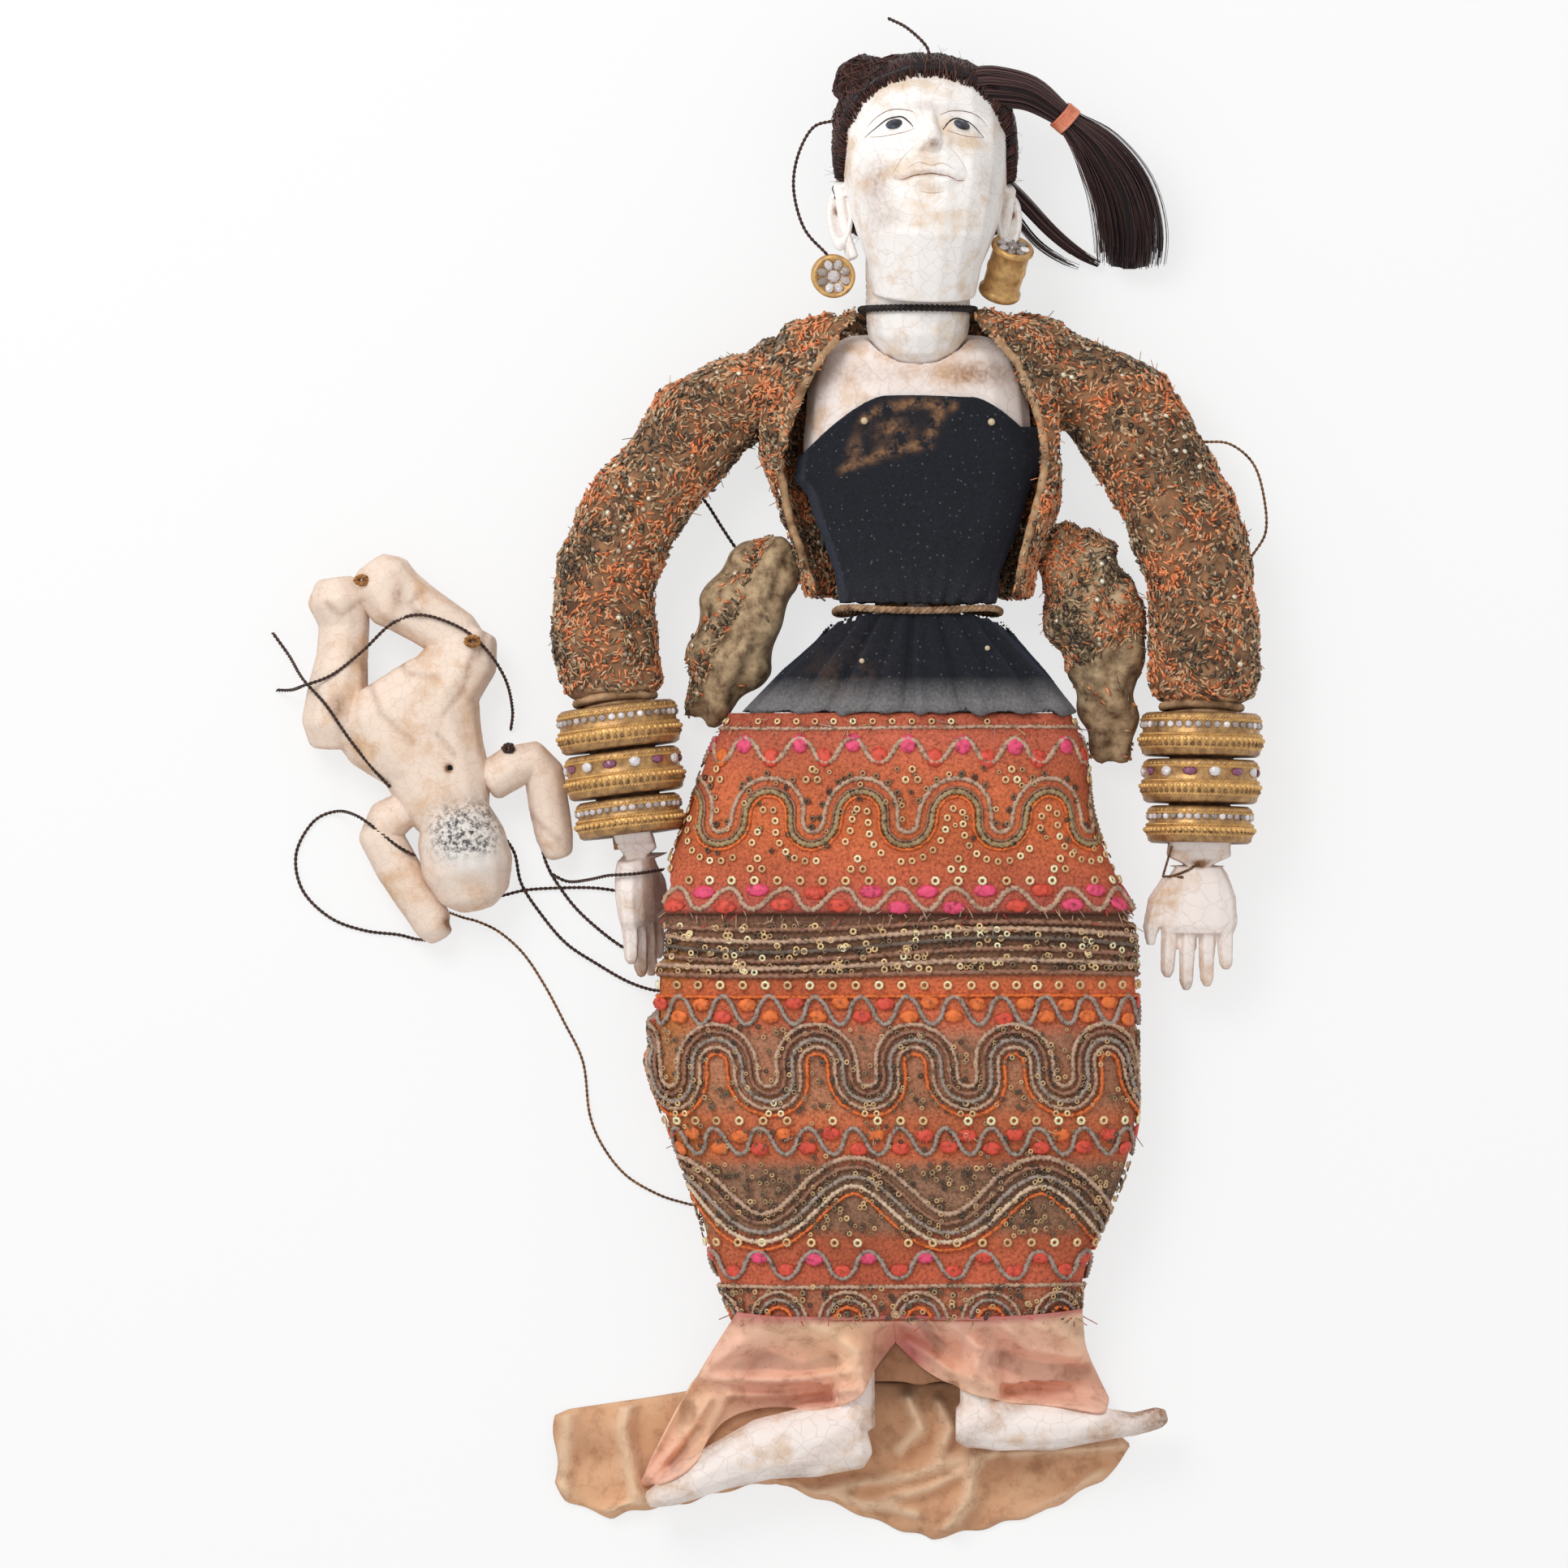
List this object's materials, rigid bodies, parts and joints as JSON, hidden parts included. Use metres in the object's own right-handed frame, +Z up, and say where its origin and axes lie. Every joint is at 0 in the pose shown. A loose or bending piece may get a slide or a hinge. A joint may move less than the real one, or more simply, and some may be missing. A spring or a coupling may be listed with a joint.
{
  "type": "string puppet",
  "caption": "Carved wooden string puppet of a woman in court dress lying on its back, jointed at neck, waist, arms and legs, with bangles, a wrapped skirt and a small child tied in its strings",
  "frame": {"origin": "on the surface that the puppet lies on, under the hips", "axes": "+Y runs from the hips to the head, +X is the puppet's left, +Z is up, out of its face"},
  "size_m": [0.468, 0.7159, 0.0928],
  "materials": {
    "gesso": "painted white, worn",
    "bare_wood": "bare carved wood",
    "hair": "lacquered fibre",
    "hair_ribbon": "cotton band",
    "gilt": "gilt with glass stones",
    "black_velvet": "worn velvet",
    "embroidery": "sequins and metal thread",
    "skirt_cloth": "couched cords and sequins",
    "plain_cloth": "faded cotton",
    "waist_cord": "cotton tape",
    "dark_string": "twisted string",
    "pale_string": "twisted string",
    "child_wood": "painted pale, speckled"
  },
  "bodies": {
    "chest": {"chest_block": "gesso", "bodice": "black_velvet", "jacket_body": "embroidery", "child": "child_wood", "string_belly": "dark_string", "string_by_arm": "dark_string", "string_legs": "dark_string", "string_loop": "dark_string", "string_strand_1": "dark_string", "string_strand_2": "dark_string", "string_strand_3": "dark_string", "string_tether": "pale_string"},
    "pelvis": {"pelvis_block": "bare_wood", "waist_pin": "bare_wood", "hip_pin": "bare_wood", "bodice_peplum": "black_velvet", "waist_tie": "waist_cord", "skirt_upper": "skirt_cloth", "jacket_tail_left": "embroidery", "jacket_tail_right": "plain_cloth"},
    "neck": {"neck_toggle": "bare_wood"},
    "head": {"head": "gesso", "hair_cap": "hair", "ponytail": "hair", "side_lock": "hair", "hair_band": "hair_ribbon", "ear_plug_left": "gilt", "ear_plug_right": "gilt", "neck_cord": "dark_string", "string_temple": "dark_string", "string_crown": "dark_string"},
    "thigh_left": {"thigh_left": "bare_wood", "skirt_lower": "skirt_cloth"},
    "thigh_right": {"thigh_right": "bare_wood"},
    "shin_left": {"shin_left": "gesso", "underskirt": "plain_cloth", "train": "plain_cloth"},
    "shin_right": {"shin_right": "gesso"},
    "upper_arm_left": {"upper_arm_left": "bare_wood", "sleeve_upper_left": "embroidery", "string_by_sleeve": "dark_string"},
    "forearm_left": {"forearm_left": "bare_wood", "sleeve_lower_left": "embroidery", "bangle_left_1": "gilt", "bangle_left_2": "gilt", "bangle_left_3": "gilt"},
    "hand_left": {"hand_left": "gesso"},
    "upper_arm_right": {"upper_arm_right": "bare_wood", "sleeve_upper_right": "embroidery"},
    "forearm_right": {"forearm_right": "bare_wood", "sleeve_lower_right": "embroidery", "bangle_right_1": "gilt", "bangle_right_2": "gilt", "bangle_right_3": "gilt"},
    "hand_right": {"hand_right": "gesso", "string_by_hand": "dark_string"}
  },
  "joints": [
    {"name": "waist_bend", "type": "hinge", "parent": "chest", "child": "pelvis", "pos_m": [0.004, 0.089, 0.036], "axis": [-1, 0, 0], "range_deg": [0, 30], "deforming": ["bodice", "jacket_body", "bodice_peplum", "jacket_tail_left", "jacket_tail_right"]},
    {"name": "head_turn", "type": "hinge", "parent": "chest", "child": "neck", "pos_m": [0.004, 0.231, 0.043], "axis": [0, 1, 0], "range_deg": [-30, 30]},
    {"name": "head_nod", "type": "hinge", "parent": "neck", "child": "head", "pos_m": [0.004, 0.231, 0.043], "axis": [1, 0, 0], "range_deg": [-10, 15]},
    {"name": "shoulder_swing_left", "type": "hinge", "parent": "chest", "child": "upper_arm_left", "pos_m": [0.08, 0.21, 0.028], "axis": [-1, 0, 0], "range_deg": [0, 80], "deforming": ["sleeve_upper_left"]},
    {"name": "elbow_bend_left", "type": "hinge", "parent": "upper_arm_left", "child": "forearm_left", "pos_m": [0.138, 0.114, 0.028], "axis": [-0.9999, 0.0157, 0], "range_deg": [0, 80], "deforming": ["sleeve_lower_left"]},
    {"name": "wrist_bend_left", "type": "hinge", "parent": "forearm_left", "child": "hand_left", "pos_m": [0.136, -0.013, 0.0315], "axis": [-0.9999, 0.0157, 0], "range_deg": [0, 45]},
    {"name": "shoulder_swing_right", "type": "hinge", "parent": "chest", "child": "upper_arm_right", "pos_m": [-0.08, 0.203, 0.028], "axis": [-1, 0, 0], "range_deg": [0, 80], "deforming": ["sleeve_upper_right"]},
    {"name": "elbow_bend_right", "type": "hinge", "parent": "upper_arm_right", "child": "forearm_right", "pos_m": [-0.145, 0.113, 0.028], "axis": [-0.9925, -0.122, 0], "range_deg": [0, 80], "deforming": ["sleeve_lower_right"]},
    {"name": "wrist_bend_right", "type": "hinge", "parent": "forearm_right", "child": "hand_right", "pos_m": [-0.13, -0.009, 0.0315], "axis": [-0.9925, -0.122, 0], "range_deg": [0, 45]},
    {"name": "hip_bend_left", "type": "hinge", "parent": "pelvis", "child": "thigh_left", "pos_m": [0.033, 0.025, 0.031], "axis": [-1, 0, 0], "range_deg": [0, 40], "deforming": ["skirt_upper", "skirt_lower"]},
    {"name": "hip_bend_right", "type": "hinge", "parent": "pelvis", "child": "thigh_right", "pos_m": [-0.025, 0.025, 0.031], "axis": [-1, 0, 0], "range_deg": [0, 40]},
    {"name": "knee_bend_left", "type": "hinge", "parent": "thigh_left", "child": "shin_left", "pos_m": [0.033, -0.127, 0.031], "axis": [-1, 0, 0], "range_deg": [-50, 0], "deforming": ["underskirt"]},
    {"name": "knee_bend_right", "type": "hinge", "parent": "thigh_right", "child": "shin_right", "pos_m": [-0.025, -0.127, 0.031], "axis": [-1, 0, 0], "range_deg": [-50, 0]}
  ],
  "couplings": [
    {"joint": "hip_bend_right", "follows": "hip_bend_left", "ratio": 1},
    {"joint": "knee_bend_right", "follows": "knee_bend_left", "ratio": 1}
  ]
}
